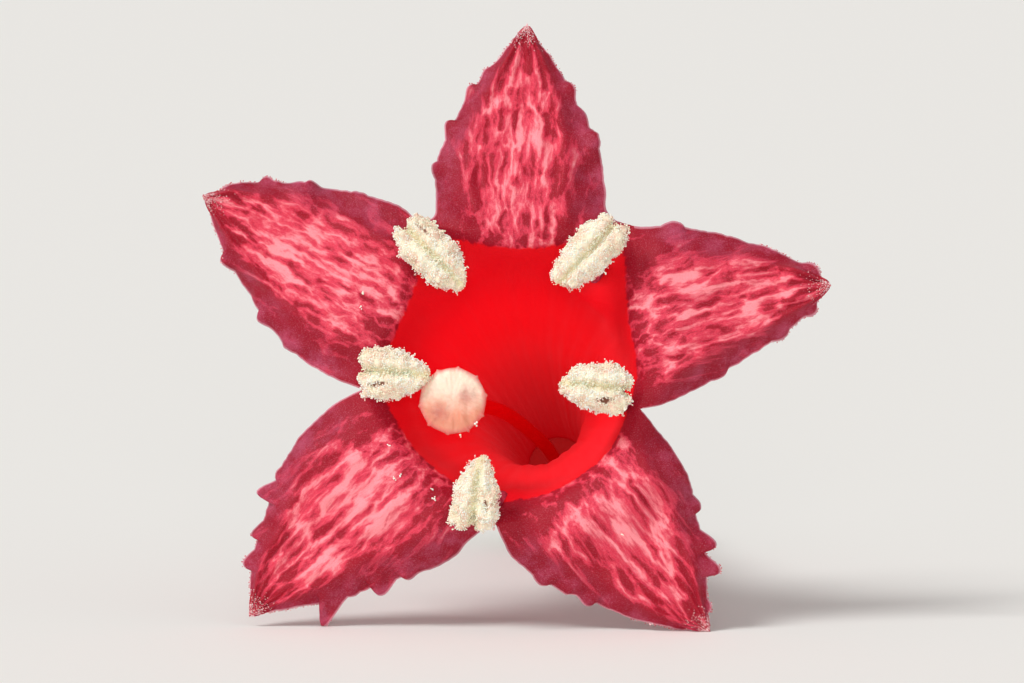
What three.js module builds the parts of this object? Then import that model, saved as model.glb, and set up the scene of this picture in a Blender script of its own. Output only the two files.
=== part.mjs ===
// Toropapa flower: one picked bloom lying on its side, in millimetres with +Z up.
//
// The flower is drawn in its own frame: z runs out of the mouth along the tube, x to the right
// and y up across the face, with z = 0 level with the notches between the lobes. The whole
// flower is then rolled and tilted onto its two lower lobes and its stalk.

import * as THREE from 'three';

// ---- Driving dimensions -------------------------------------------------------------------

const tubeLength = 26;
const tubeWall = 0.5;
const throatDepth = 1.5; // below the notches, where the tube starts to flare
const throatRadius = 3.72;
const footRadius = 1.15;
const collarRadius = 4.75; // where a lobe leaves the flare, on its midline
const lobeMiddle = 0.38; // lobe thickness along the middle
const lobeEdge = 0.15; // and at its margin
const gap = 0.05; // clear space between neighbouring pieces

const tilt = THREE.MathUtils.degToRad(12.5); // mouth raised above level
const roll = THREE.MathUtils.degToRad(0.98); // about the tube, anticlockwise from the front

const styleRadius = 0.27;
const stigmaRadius = 1.17;
const stigmaHeight = 0.72;
const stigmaPlace = new THREE.Vector3(-2.03, -0.92, 0.35);
const filamentRadius = 0.22;
const ovaryRadius = 2.1;
const ovaryLength = 4.1;
const sepalLength = 3.1;
const sepalHalfWidth = 0.8;
const sepalThickness = 0.26;
const sepalSpread = 0.22; // how far a sepal leans away from the tube, foot to tip
const sepalFlick = 0.3; // and how far its tip curls out beyond that
const pedicelRadius = 0.4;
const pedicelLength = 8;

const colours = {
  corolla: 0xc4304f,
  filament: 0xb04a5c,
  anther: 0xf1e8cf,
  style: 0xe0707a,
  stigma: 0xf4c4b2,
  calyx: 0x7b3b3a,
  pedicel: 0x8a5a45,
};

// ---- Shared helpers -----------------------------------------------------------------------

function piece(name, geometry, colour, roughness = 0.6) {
  const material = new THREE.MeshStandardMaterial({ color: colour, roughness, metalness: 0 });
  const mesh = new THREE.Mesh(geometry, material);
  mesh.name = name;
  return mesh;
}

// Closes a thin sheet into a solid: a copy of the sheet is set back along its normals, and each
// open edge gets a strip to its copy. thickness holds one value for each point.
function thicken(points, triangles, thickness) {
  const front = new THREE.BufferGeometry();
  const sheet = points.flatMap((p) => p.toArray());
  front.setAttribute('position', new THREE.Float32BufferAttribute(sheet, 3));
  front.setIndex(triangles.flat());
  front.computeVertexNormals();
  const normals = front.getAttribute('normal');
  const back = points.map((p, i) => {
    const normal = new THREE.Vector3().fromBufferAttribute(normals, i);
    return p.clone().addScaledVector(normal, -thickness[i]);
  });
  const count = points.length;
  const faces = [...triangles, ...triangles.map(([a, b, c]) => [a + count, c + count, b + count])];
  const edges = triangles.flatMap(([a, b, c]) => [[a, b], [b, c], [c, a]]);
  const directed = new Set(edges.map((edge) => edge.join()));
  for (const [a, b] of edges) {
    if (!directed.has([b, a].join())) {
      faces.push([b, a, a + count], [b, a + count, b + count]);
    }
  }
  const solid = new THREE.BufferGeometry();
  const all = [...points, ...back].flatMap((p) => p.toArray());
  solid.setAttribute('position', new THREE.Float32BufferAttribute(all, 3));
  solid.setIndex(faces.flat());
  solid.computeVertexNormals();
  return solid;
}

// A round rod along a smooth curve through the points.
function rod(points, radius, steps, sides) {
  const section = new THREE.Shape();
  for (let i = 0; i < sides; i++) {
    const turn = (2 * Math.PI * i) / sides;
    const x = radius * Math.cos(turn);
    const y = radius * Math.sin(turn);
    i ? section.lineTo(x, y) : section.moveTo(x, y);
  }
  const extrudePath = new THREE.CatmullRomCurve3(points.map((p) => new THREE.Vector3(...p)));
  return new THREE.ExtrudeGeometry(section, { steps, extrudePath, curveSegments: 1 });
}

// ---- Corolla: one tube that flares into five toothed lobes ---------------------------------

// A lobe's margins are drawn in its own plane as [distance from the tube's axis, half-width],
// from the notch to the tip. A tooth is [distance, length, half of its root, forward lean].
// The lobes and the notches after them run anticlockwise from the lobe on the right.
const lobes = [
  {
    angle: 16.1,
    reach: 11.45,
    tipHeight: -0.3,
    left: [[5.9, 3.75], [6.8, 3.57], [8.1, 2.94], [9.4, 2.16], [10.6, 1.16]],
    right: [[4.8, 2.38], [6.3, 2.08], [7.7, 1.66], [9, 1.3], [10.4, 0.74]],
    leftTeeth: [[6.8, 0.14, 0.4, 0.4], [8.2, 0.08, 0.3, 0.4], [10.95, 0.22, 0.26, 0.3]],
    rightTeeth: [[6.9, 0.1, 0.35, 0.3], [9.3, 0.1, 0.35, 0.3], [10.55, 0.16, 0.26, 0.3]],
  },
  {
    angle: 87.7,
    reach: 12.38,
    tipHeight: 0.1,
    left: [[5.65, 2.97], [7.2, 3.05], [8.7, 2.62], [10.1, 1.87], [11.4, 0.88]],
    right: [[5.85, 3.09], [7, 2.9], [8.3, 2.63], [9.6, 1.93], [11, 1.1]],
    leftTeeth: [
      [7.25, 0.16, 0.3, 0.5],
      [8.7, 0.26, 0.35, 0.7],
      [10, 0.24, 0.3, 0.6],
      [10.7, 0.1, 0.22, 0.4],
    ],
    rightTeeth: [[8.5, 0.14, 0.35, 0.5], [9.4, 0.08, 0.3, 0.5], [10.2, 0.16, 0.32, 0.6]],
  },
  {
    angle: 149,
    reach: 12.65,
    tipHeight: -0.2,
    left: [[5.2, 3.18], [6.6, 3.2], [8.1, 2.85], [9.5, 2.17], [11.1, 1.3]],
    right: [[6.4, 3.17], [7.6, 2.95], [8.9, 2.58], [10.2, 2.06], [11.6, 1.26]],
    leftTeeth: [[7.3, 0.08, 0.3, 0.4], [8.6, 0.22, 0.3, 0.6], [10.7, 0.24, 0.3, 0.6]],
    rightTeeth: [[8, 0.08, 0.3, 0.4], [9.6, 0.15, 0.24, 0.5], [11.1, 0.16, 0.22, 0.3]],
  },
  {
    angle: 221.6,
    reach: 12.3,
    tipHeight: -0.8,
    left: [[4.6, 3.22], [6, 3.2], [7.4, 2.62], [8.8, 1.97], [10.3, 1.22]],
    right: [[5.3, 3.49], [7, 3.5], [8.6, 2.9], [9.9, 2.13], [11.2, 1.22]],
    leftTeeth: [
      [7.25, 0.14, 0.25, 0.4],
      [8.1, 0.34, 0.4, 0.6],
      [9.15, 0.1, 0.25, 0.3],
      [9.7, 0.85, 0.36, 0.8],
    ],
    rightTeeth: [
      [8.25, 0.14, 0.25, 0.4],
      [8.85, 0.46, 0.3, 0.5],
      [10.05, 0.3, 0.3, 0.6],
      [10.95, 0.32, 0.28, 0.5],
    ],
  },
  {
    angle: 307.4,
    reach: 11.1,
    tipHeight: -0.8,
    left: [[4.8, 2.85], [6.3, 2.74], [7.6, 2.12], [8.9, 1.54], [10, 0.74]],
    right: [[4.8, 3.83], [6.2, 3.52], [7.6, 2.7], [9.1, 1.84], [10.3, 0.86]],
    leftTeeth: [
      [7.25, 0.24, 0.3, 0.5],
      [8.45, 0.44, 0.34, 0.6],
      [9.2, 0.48, 0.28, 0.5],
      [10.35, 0.16, 0.22, 0.3],
    ],
    rightTeeth: [[6.15, 0.16, 0.3, 0.5], [6.95, 0.08, 0.25, 0.4], [7.6, 0.22, 0.28, 0.5]],
  },
];
const notches = [
  { angle: 51.9, radius: 6.7 },
  { angle: 121.7, radius: 6.4 },
  { angle: 184.2, radius: 5.25 },
  { angle: 263.4, radius: 5.17 },
  { angle: 345.4, radius: 4.55 },
];

const columns = 8; // strips across each lobe
const lobeRows = 22;
const tubeRows = 10;
const flareRows = 4;

const archHeight = 0.6; // the lobe's rise just outside the mouth
const archAt = 0.14; // as a share of the lobe's length
const archSpread = 0.24;
const panelShare = 0.6; // the flat middle panel's share of the half-width
const wingDrop = 0.55; // how far the side wings fall behind the panel
const flareRise = [0.25, 0.8]; // how the flare leaves the throat: outward, upward
const flareTurn = [0.45, 0.12]; // how it meets the collar: outward, upward

// The inner wall of the tube, foot to throat: [height, radius].
const innerWall = new THREE.SplineCurve([
  new THREE.Vector2(-tubeLength, footRadius),
  new THREE.Vector2(-20, 1.3),
  new THREE.Vector2(-13, 1.68),
  new THREE.Vector2(-7.5, 2.2),
  new THREE.Vector2(-4, 2.95),
  new THREE.Vector2(-throatDepth, throatRadius),
]);

const radians = (degrees) => THREE.MathUtils.degToRad(degrees);

function notchBefore(k) {
  const notch = notches[(k + notches.length - 1) % notches.length];
  return k ? notch : { angle: notch.angle - 360, radius: notch.radius };
}

// One margin of a lobe from notch to tip, in the lobe's plane. side is 1 on the left and -1 on
// the right.
function marginOf(lobe, notch, side) {
  const turn = radians(notch.angle - lobe.angle);
  const drawn = side > 0 ? lobe.left : lobe.right;
  return new THREE.SplineCurve([
    new THREE.Vector2(notch.radius * Math.cos(turn), notch.radius * Math.sin(turn)),
    ...drawn.map(([out, half]) => new THREE.Vector2(out, side * half)),
    new THREE.Vector2(lobe.reach, 0),
  ]);
}

function toothedPoint(margin, teeth, side, t) {
  const point = margin.getPointAt(t);
  const along = margin.getTangentAt(t);
  const outward = new THREE.Vector2(-along.y, along.x).multiplyScalar(side);
  const start = point.x;
  for (const [out, length, root, lean] of teeth) {
    const off = (start - out) / root;
    if (Math.abs(off) < 1) {
      const rise = length * Math.cos((off * Math.PI) / 2);
      point.addScaledVector(outward, rise).addScaledVector(along, rise * lean);
    }
  }
  return point;
}

// Height of a lobe's face: u is -1 at its right margin and 1 at its left, t is 0 at the mouth
// and 1 at the tip.
function faceHeight(lobe, u, t) {
  const arch = archHeight * (1 - u * u) * Math.exp(-(((t - archAt) / archSpread) ** 2));
  const pastPanel = Math.max(0, (Math.abs(u) - panelShare) / (1 - panelShare));
  const wing = wingDrop * pastPanel ** 1.4 * Math.sin(Math.PI * t);
  return arch - wing + lobe.tipHeight * t ** 1.5;
}

function faceThickness(u, t) {
  return lobeEdge + (lobeMiddle - lobeEdge) * (1 - Math.abs(u) ** 2.5) * (1 - t ** 3);
}

// The collar is the ring where the flare ends and the lobes begin.
function collarAt(k, u) {
  const notch = u < 0 ? notchBefore(k) : notches[k];
  const share = Math.abs(u);
  return {
    angle: lobes[k].angle + share * (notch.angle - lobes[k].angle),
    radius: collarRadius + (notch.radius - collarRadius) * share ** 2,
    height: faceHeight(lobes[k], u, 0),
  };
}

function onRing(angle, radius, height) {
  return new THREE.Vector3(radius * Math.cos(radians(angle)), radius * Math.sin(radians(angle)), height);
}

// A point of the flare, from the throat (s = 0) to the collar (s = 1), rising first and then
// turning outward.
function flarePoint(collar, s) {
  const rise = new THREE.Vector2(throatRadius + flareRise[0], -throatDepth + flareRise[1]);
  const turn = new THREE.Vector2(collar.radius - flareTurn[0], collar.height - flareTurn[1]);
  const start = new THREE.Vector2(throatRadius, -throatDepth);
  const end = new THREE.Vector2(collar.radius, collar.height);
  const p = new THREE.CubicBezierCurve(start, rise, turn, end).getPoint(s);
  return onRing(collar.angle, p.x, p.y);
}

function corollaGeometry() {
  const points = [];
  const thickness = [];
  const triangles = [];
  const ring = columns * lobes.length;
  const add = (point, thick) => {
    points.push(point);
    thickness.push(thick);
    return points.length - 1;
  };
  const quad = (a, b, c, d) => triangles.push([a, c, b], [a, d, c]);

  const collars = [];
  for (let k = 0; k < lobes.length; k++) {
    for (let c = 0; c < columns; c++) {
      const u = (2 * c) / columns - 1;
      collars.push({ ...collarAt(k, u), u });
    }
  }
  const rings = [];
  for (let row = 0; row <= tubeRows; row++) {
    const wall = innerWall.getPoint(row / tubeRows);
    rings.push(collars.map((collar) => add(onRing(collar.angle, wall.y, wall.x), tubeWall)));
  }
  for (let row = 1; row <= flareRows; row++) {
    const s = row / flareRows;
    rings.push(
      collars.map((collar) => {
        const thick = THREE.MathUtils.lerp(tubeWall, faceThickness(collar.u, 0), s);
        return add(flarePoint(collar, s), thick);
      }),
    );
  }
  for (let row = 1; row < rings.length; row++) {
    for (let c = 0; c < ring; c++) {
      const next = (c + 1) % ring;
      quad(rings[row - 1][c], rings[row - 1][next], rings[row][next], rings[row][c]);
    }
  }

  const collarRing = rings.at(-1);
  lobes.forEach((lobe, k) => {
    const left = marginOf(lobe, notches[k], 1);
    const right = marginOf(lobe, notchBefore(k), -1);
    const heading = radians(lobe.angle);
    const rows = [[]];
    for (let c = 0; c <= columns; c++) {
      rows[0].push(collarRing[(k * columns + c) % ring]);
    }
    const bulges = rows[0].map((id, c) => {
      const straight = right.getPoint(0).lerp(left.getPoint(0), c / columns);
      const flat = new THREE.Vector2(points[id].x, points[id].y);
      return flat.rotateAround(new THREE.Vector2(), -heading).sub(straight);
    });
    for (let row = 1; row < lobeRows; row++) {
      const t = row / lobeRows;
      const rightEnd = toothedPoint(right, lobe.rightTeeth, -1, t);
      const leftEnd = toothedPoint(left, lobe.leftTeeth, 1, t);
      rows.push(
        bulges.map((bulge, c) => {
          const u = (2 * c) / columns - 1;
          const flat = rightEnd.clone().lerp(leftEnd, c / columns);
          flat.addScaledVector(bulge, (1 - t) ** 3);
          flat.rotateAround(new THREE.Vector2(), heading);
          return add(new THREE.Vector3(flat.x, flat.y, faceHeight(lobe, u, t)), faceThickness(u, t));
        }),
      );
    }
    for (let row = 1; row < rows.length; row++) {
      for (let c = 0; c < columns; c++) {
        quad(rows[row - 1][c], rows[row - 1][c + 1], rows[row][c + 1], rows[row][c]);
      }
    }
    const tip = add(onRing(lobe.angle, lobe.reach, lobe.tipHeight), lobeEdge);
    for (let c = 0; c < columns; c++) {
      triangles.push([rows.at(-1)[c], tip, rows.at(-1)[c + 1]]);
    }
  });
  return thicken(points, triangles, thickness);
}

// ---- Stamens: an anther over each notch, on a filament from the throat wall ------------------

// place is the middle of the anther, and heading is where its outer end points, in degrees.
const stamens = [
  { notch: 0, place: [2.72, 4.18, 1.05], heading: 47, length: 3, width: 1.6 },
  { notch: 1, place: [-2.78, 4.2, 1.05], heading: 134, length: 3, width: 1.7 },
  { notch: 2, place: [-4.12, 0.04, 0.95], heading: 176, length: 2.4, width: 2.1 },
  { notch: 3, place: [-1.2, -4.2, 1], heading: 264, length: 2.5, width: 2.1 },
  { notch: 4, place: [2.98, -0.52, 1], heading: 353, length: 2.4, width: 1.95 },
];
const antherHeight = 1.05;
const antherTaper = 0.14; // how much wider the outer end is
const grooveWidth = 0.22; // as a share of the half-width
const grooveDepth = 0.3; // as a share of the half-height
const outerNotch = 0.22; // as a share of the half-length
const filamentShare = 0.35; // how far up the flare the filament leaves it
const headShare = 0.2; // how far out under the anther it ends, as a share of the length

// Two pollen lobes side by side, parted by a groove on the face and a notch at the outer end.
function antherGeometry(length, width) {
  const geometry = new THREE.SphereGeometry(1, 18, 12);
  const position = geometry.getAttribute('position');
  for (let i = 0; i < position.count; i++) {
    const p = new THREE.Vector3().fromBufferAttribute(position, i);
    const groove = Math.exp(-((p.y / grooveWidth) ** 2));
    const x = p.x * (1 - outerNotch * groove * Math.max(0, p.x));
    const y = p.y * (1 + antherTaper * p.x);
    const z = p.z * (1 - grooveDepth * groove * Math.sign(Math.max(0, p.z)));
    position.setXYZ(i, (x * length) / 2, (y * width) / 2, (z * antherHeight) / 2);
  }
  geometry.computeVertexNormals();
  return geometry;
}

// The filament leaves the flare below its notch and ends under the anther's outer half.
function filamentGeometry(stamen) {
  const root = flarePoint(collarAt(stamen.notch, 1), filamentShare);
  const clear = 1 - (filamentRadius + 2 * gap) / Math.hypot(root.x, root.y);
  const heading = radians(stamen.heading);
  const [x, y, z] = stamen.place;
  const outward = headShare * stamen.length;
  const under = z - antherHeight / 2 - filamentRadius / 2 - gap;
  const head = [x + outward * Math.cos(heading), y + outward * Math.sin(heading), under];
  const start = [root.x * clear, root.y * clear, root.z + filamentRadius];
  const bow = start.map((value, i) => (value + head[i]) / 2);
  bow[2] += filamentRadius;
  return rod([start, bow, head], filamentRadius, 6, 8);
}

// ---- Pistil, calyx and stalk ---------------------------------------------------------------

const footHeight = -tubeLength; // where the tube, the style and the sepals stand on the ovary
const ovaryTop = footHeight - gap;

function stigmaGeometry() {
  const rim = stigmaRadius;
  const profile = [
    [0, 0],
    [0.55 * rim, 0],
    [0.9 * rim, 0.3 * stigmaHeight],
    [rim, 0.55 * stigmaHeight],
    [0.94 * rim, 0.72 * stigmaHeight],
    [0.6 * rim, 0.92 * stigmaHeight],
    [0, stigmaHeight],
  ];
  const sides = 10;
  const geometry = new THREE.LatheGeometry(profile.map(([r, h]) => new THREE.Vector2(r, h)), sides);
  return geometry.rotateX(Math.PI / 2);
}

function styleGeometry() {
  const { x, y, z } = stigmaPlace;
  const lower = [[0, 0, footHeight], [-0.1, 0, -19], [0.45 * x, 0.1, -11]];
  const upper = [[0.85 * x, -0.05, -7], [1.1 * x, 0.4 * y, -4], [x, y, z - gap]];
  return rod([...lower, ...upper], styleRadius, 26, 8);
}

function ovaryGeometry() {
  const bottom = ovaryTop - ovaryLength;
  const profile = [
    [0, bottom],
    [0.45, bottom],
    [0.75, bottom + 0.35],
    [1.35, bottom + 1],
    [1.85, bottom + 2],
    [ovaryRadius, bottom + 3.1],
    [ovaryRadius, ovaryTop - 0.25],
    [ovaryRadius - 0.2, ovaryTop],
    [0, ovaryTop],
  ];
  const geometry = new THREE.LatheGeometry(profile.map(([r, h]) => new THREE.Vector2(r, h)), 24);
  return geometry.rotateX(Math.PI / 2);
}

// A pointed calyx lobe standing against the foot of the tube, its face towards the tube.
function sepalGeometry() {
  const rows = 7;
  const across = 4;
  const points = [];
  const triangles = [];
  const place = (u, t) => {
    const half = sepalHalfWidth * (1 - t) ** 0.8 * (1 + 0.6 * t);
    const radius = footRadius + tubeWall + 2 * gap + sepalSpread * t + sepalFlick * t ** 3;
    const turn = (u * half) / radius;
    const height = footHeight + sepalLength * t;
    return new THREE.Vector3(radius * Math.cos(turn), radius * Math.sin(turn), height);
  };
  for (let row = 0; row < rows; row++) {
    for (let c = 0; c <= across; c++) {
      points.push(place((2 * c) / across - 1, row / rows));
    }
  }
  const at = (row, c) => row * (across + 1) + c;
  const tip = points.push(place(0, 1)) - 1;
  for (let c = 0; c < across; c++) {
    for (let row = 1; row < rows; row++) {
      triangles.push([at(row - 1, c), at(row, c + 1), at(row - 1, c + 1)]);
      triangles.push([at(row - 1, c), at(row, c), at(row, c + 1)]);
    }
    triangles.push([at(rows - 1, c), tip, at(rows - 1, c + 1)]);
  }
  return thicken(points, triangles, points.map(() => sepalThickness));
}

function pedicelGeometry() {
  const top = ovaryTop - ovaryLength - gap;
  const upper = [[0, 0, top], [0.12, 0.05, top - 2.5]];
  const lower = [[0.45, 0.05, top - 5.5], [0.9, -0.03, top - pedicelLength]];
  return rod([...upper, ...lower], pedicelRadius, 12, 12);
}

// ---- The flower -----------------------------------------------------------------------------

const flower = new THREE.Group();
flower.add(piece('corolla', corollaGeometry(), colours.corolla));
stamens.forEach((stamen, i) => {
  const head = antherGeometry(stamen.length, stamen.width);
  const anther = piece(`anther_${i + 1}`, head, colours.anther, 0.9);
  anther.position.set(...stamen.place);
  anther.rotation.z = radians(stamen.heading);
  flower.add(anther, piece(`filament_${i + 1}`, filamentGeometry(stamen), colours.filament));
});
flower.add(piece('style', styleGeometry(), colours.style));
const stigma = piece('stigma', stigmaGeometry(), colours.stigma);
stigma.position.copy(stigmaPlace);
flower.add(stigma);
flower.add(piece('ovary', ovaryGeometry(), colours.calyx));
for (let i = 0; i < 5; i++) {
  const sepal = piece(`sepal_${i + 1}`, sepalGeometry(), colours.calyx);
  sepal.rotation.z = radians(lobes[i].angle);
  flower.add(sepal);
}
flower.add(piece('pedicel', pedicelGeometry(), colours.pedicel));

// Lay it down: roll about the tube, tilt the mouth up, then stand it on z = 0, centred over
// the origin.
flower.rotation.set(Math.PI / 2 - tilt, 0, roll);
flower.updateMatrixWorld(true);
const box = new THREE.Box3().setFromObject(flower, true);
flower.position.set(-(box.min.x + box.max.x) / 2, -(box.min.y + box.max.y) / 2, -box.min.z);

export default flower;
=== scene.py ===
import bpy
import math
from functools import cache
import numpy as np
from mathutils import Matrix, Vector


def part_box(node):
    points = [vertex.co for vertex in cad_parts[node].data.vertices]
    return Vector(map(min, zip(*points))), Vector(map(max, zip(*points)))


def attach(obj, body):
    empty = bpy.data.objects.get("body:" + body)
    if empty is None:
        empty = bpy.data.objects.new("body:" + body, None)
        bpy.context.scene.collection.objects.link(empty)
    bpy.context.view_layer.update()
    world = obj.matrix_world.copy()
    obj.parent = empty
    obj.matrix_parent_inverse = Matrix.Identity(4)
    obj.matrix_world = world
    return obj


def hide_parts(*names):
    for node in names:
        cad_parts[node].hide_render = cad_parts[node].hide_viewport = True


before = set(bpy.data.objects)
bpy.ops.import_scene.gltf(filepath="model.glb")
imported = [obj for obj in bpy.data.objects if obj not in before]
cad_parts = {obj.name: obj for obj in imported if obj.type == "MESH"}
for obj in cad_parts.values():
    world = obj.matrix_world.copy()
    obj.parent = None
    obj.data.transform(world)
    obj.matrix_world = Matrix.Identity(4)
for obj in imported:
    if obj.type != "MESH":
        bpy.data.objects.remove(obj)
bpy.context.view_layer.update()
mm = 0.001

# How the flower lies: its own frame has z out of the mouth, x right and y up across the face.
lying = {"tilt": 12.5, "roll": 0.98}


def turned(points):  # flower frame to row frame, still in mm and not yet moved into place
    tilt, roll = math.radians(lying["tilt"]), math.radians(lying["roll"])
    x = points[:, 0] * math.cos(roll) - points[:, 1] * math.sin(roll)
    y = points[:, 0] * math.sin(roll) + points[:, 1] * math.cos(roll)
    z = points[:, 2]
    across = y * math.sin(tilt) - z * math.cos(tilt)
    up = y * math.cos(tilt) + z * math.sin(tilt)
    return np.stack([x, across, up], 1)


# small shared tools

def smooth(low, high, value):
    share = np.clip((value - low) / (high - low), 0, 1)
    return share * share * (3 - 2 * share)


def polar(degrees, radius, height):
    turn = np.radians(degrees)
    return np.stack(np.broadcast_arrays(radius * np.cos(turn), radius * np.sin(turn), height), -1)


def wander(rng, points, size, count=7):  # smooth random field made of a few waves, about -1 to 1
    total = np.zeros(len(points))
    for _ in range(count):
        direction = rng.normal(size=points.shape[1])
        direction *= rng.uniform(0.6, 1.6) / (np.linalg.norm(direction) * size)
        total += np.sin(points @ direction * 2 * math.pi + rng.uniform(0, 6.3))
    return total / math.sqrt(count)


def splinePoints(knots, shares):  # smooth curve through the knots, shares measured along its length
    knots = np.array(knots, float)
    last = len(knots) - 1

    def at(t):
        place = np.clip(t, 0, 1) * last
        i = np.minimum(place.astype(int), last - 1)
        w = (place - i)[:, None]
        p0, p1 = knots[np.maximum(i - 1, 0)], knots[i]
        p2, p3 = knots[i + 1], knots[np.minimum(i + 2, last)]
        v0, v1 = (p2 - p0) / 2, (p3 - p1) / 2
        return ((2 * p1 - 2 * p2 + v0 + v1) * w**3 + (3 * p2 - 3 * p1 - 2 * v0 - v1) * w**2 + v0 * w + p1)

    even = np.linspace(0, 1, 400)
    steps = np.linalg.norm(np.diff(at(even), axis=0), axis=1)
    run = np.concatenate([[0], np.cumsum(steps)])
    return at(np.interp(np.asarray(shares) * run[-1], run, even))


def vertexNormals(points, triangles):
    a, b, c = (points[triangles[:, i]] for i in range(3))
    faces = np.cross(b - a, c - a)
    normals = np.zeros_like(points)
    for i in range(3):
        np.add.at(normals, triangles[:, i], faces)
    return normals / np.maximum(np.linalg.norm(normals, axis=1, keepdims=True), 1e-12)


def split(quads):
    return np.concatenate([quads[:, [0, 1, 2]], quads[:, [0, 2, 3]]])


def openEdges(quads, triangles):
    edges = np.concatenate([quads[:, [i, (i + 1) % 4]] for i in range(4)]
                           + [triangles[:, [i, (i + 1) % 3]] for i in range(3)])
    known = set(map(tuple, edges.tolist()))
    return np.array([e for e in edges.tolist() if (e[1], e[0]) not in known])


def ringGrid(rows, around, closed=True):  # quads over rows of points, each row going round
    i, j = np.meshgrid(np.arange(rows - 1), np.arange(around if closed else around - 1), indexing="ij")
    i, j = i.ravel(), j.ravel()
    k = (j + 1) % around
    return np.stack([i * around + j, i * around + k, (i + 1) * around + k, (i + 1) * around + j], 1)


def capped(points, around, ends=None):  # closes both ends of a grid of rings with fans
    count = len(points)
    if ends is None:
        ends = [points[:around].mean(0), points[-around:].mean(0)]
    i = np.arange(around)
    k = (i + 1) % around
    last = count - around
    caps = np.concatenate([np.stack([k, i, np.full(around, count)], 1),
                           np.stack([last + i, last + k, np.full(around, count + 1)], 1)])
    return np.concatenate([points, ends]), ringGrid(count // around, around), caps


def thickened(points, quads, triangles, thick):  # gives a sheet its back and a strip round its edge
    normals = vertexNormals(points, np.concatenate([split(quads), triangles]))
    edges = openEdges(quads, triangles)
    n = len(points)
    strip = np.stack([edges[:, 1], edges[:, 0], edges[:, 0] + n, edges[:, 1] + n], 1)
    points = np.concatenate([points, points - normals * thick[:, None]])
    quads = np.concatenate([quads, quads[:, ::-1] + n, strip])
    triangles = np.concatenate([triangles, triangles[:, ::-1] + n])
    return points, quads, triangles, normals, edges


def addPiece(name, points, quads, triangles, material, nodes, fields):
    mesh = bpy.data.meshes.new(name)
    quads = np.zeros((0, 4), int) if quads is None else quads
    placed = (turned(points) + flowerOrigin) * mm
    placed[:, 2] = np.maximum(placed[:, 2], 0)  # soft edges flatten where they touch the surface
    corners = np.concatenate([quads.ravel(), triangles.ravel()])
    mesh.vertices.add(len(points))
    mesh.vertices.foreach_set("co", placed.astype(np.float32).ravel())
    mesh.loops.add(len(corners))
    mesh.loops.foreach_set("vertex_index", corners.astype(np.int32))
    starts = np.concatenate([np.arange(len(quads)) * 4, len(quads) * 4 + np.arange(len(triangles)) * 3])
    mesh.polygons.add(len(starts))
    mesh.polygons.foreach_set("loop_start", starts.astype(np.int32))
    mesh.update(calc_edges=True)
    mesh.validate()
    for field, values in fields.items():
        values = np.asarray(values, np.float32)
        where = "CORNER" if len(values) == len(corners) else "POINT"
        kind = "FLOAT_VECTOR" if values.ndim == 2 else "FLOAT"
        layer = mesh.attributes.new(field, kind, where)
        layer.data.foreach_set("vector" if values.ndim == 2 else "value", values.ravel())
    mesh.shade_smooth()
    mesh.materials.append(material)
    piece = bpy.data.objects.new(name, mesh)
    bpy.context.scene.collection.objects.link(piece)
    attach(piece, "root")
    if nodes:
        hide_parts(*nodes)
    print("made", name, len(quads) * 2 + len(triangles), "triangles", flush=True)


def sweep(knots, radius, steps, around):  # closed rod along a curve; radius is a function of share and turn
    share = np.linspace(0, 1, steps + 1)
    path = splinePoints(knots, share)
    along = np.gradient(path, axis=0)
    along /= np.linalg.norm(along, axis=1, keepdims=True)
    side = np.cross(along, [0.3, 1, 0.1])
    side /= np.linalg.norm(side, axis=1, keepdims=True)
    other = np.cross(along, side)
    turn = np.linspace(0, 2 * math.pi, around, endpoint=False)
    shareGrid, turnGrid = np.meshgrid(share, turn, indexing="ij")
    size = radius(shareGrid, turnGrid)[..., None]
    ring = side[:, None] * np.cos(turn)[:, None] + other[:, None] * np.sin(turn)[:, None]
    points = (path[:, None] + ring * size).reshape(-1, 3)
    points, quads, caps = capped(points, around, path[[0, -1]])
    return points, quads, caps, np.append(shareGrid.ravel(), [0, 1])


# one ball of twenty small faces, copied many times for pollen and for glittering cells
golden = (1 + 5**0.5) / 2
ballPoints = np.array([[-1, golden, 0], [1, golden, 0], [-1, -golden, 0], [1, -golden, 0],
                       [0, -1, golden], [0, 1, golden], [0, -1, -golden], [0, 1, -golden],
                       [golden, 0, -1], [golden, 0, 1], [-golden, 0, -1], [-golden, 0, 1]]) / 1.902
ballFaces = np.array([[0, 11, 5], [0, 5, 1], [0, 1, 7], [0, 7, 10], [0, 10, 11],
                      [1, 5, 9], [5, 11, 4], [11, 10, 2], [10, 7, 6], [7, 1, 8],
                      [3, 9, 4], [3, 4, 2], [3, 2, 6], [3, 6, 8], [3, 8, 9],
                      [4, 9, 5], [2, 4, 11], [6, 2, 10], [8, 6, 7], [9, 8, 1]])


def balls(rng, centres, radii, stretch=None):
    spin = rng.normal(size=(len(centres), 3, 3))
    spin, _ = np.linalg.qr(spin)
    shape = ballPoints[None] * (1 if stretch is None else stretch[:, None])
    points = np.einsum("nij,nkj->nki", spin, shape) * radii[:, None, None] + centres[:, None]
    faces = ballFaces[None] + (np.arange(len(centres)) * len(ballPoints))[:, None, None]
    flip = np.linalg.det(spin) < 0
    faces[flip] = faces[flip][:, :, ::-1]
    return points.reshape(-1, 3), faces.reshape(-1, 3)


# material tools

def linear(*screen):  # screen colour, 0 to 255, to scene light
    shares = [c / 255 for c in screen]
    return (*[s / 12.92 if s <= 0.04045 else ((s + 0.055) / 1.055) ** 2.4 for s in shares], 1)


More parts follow.
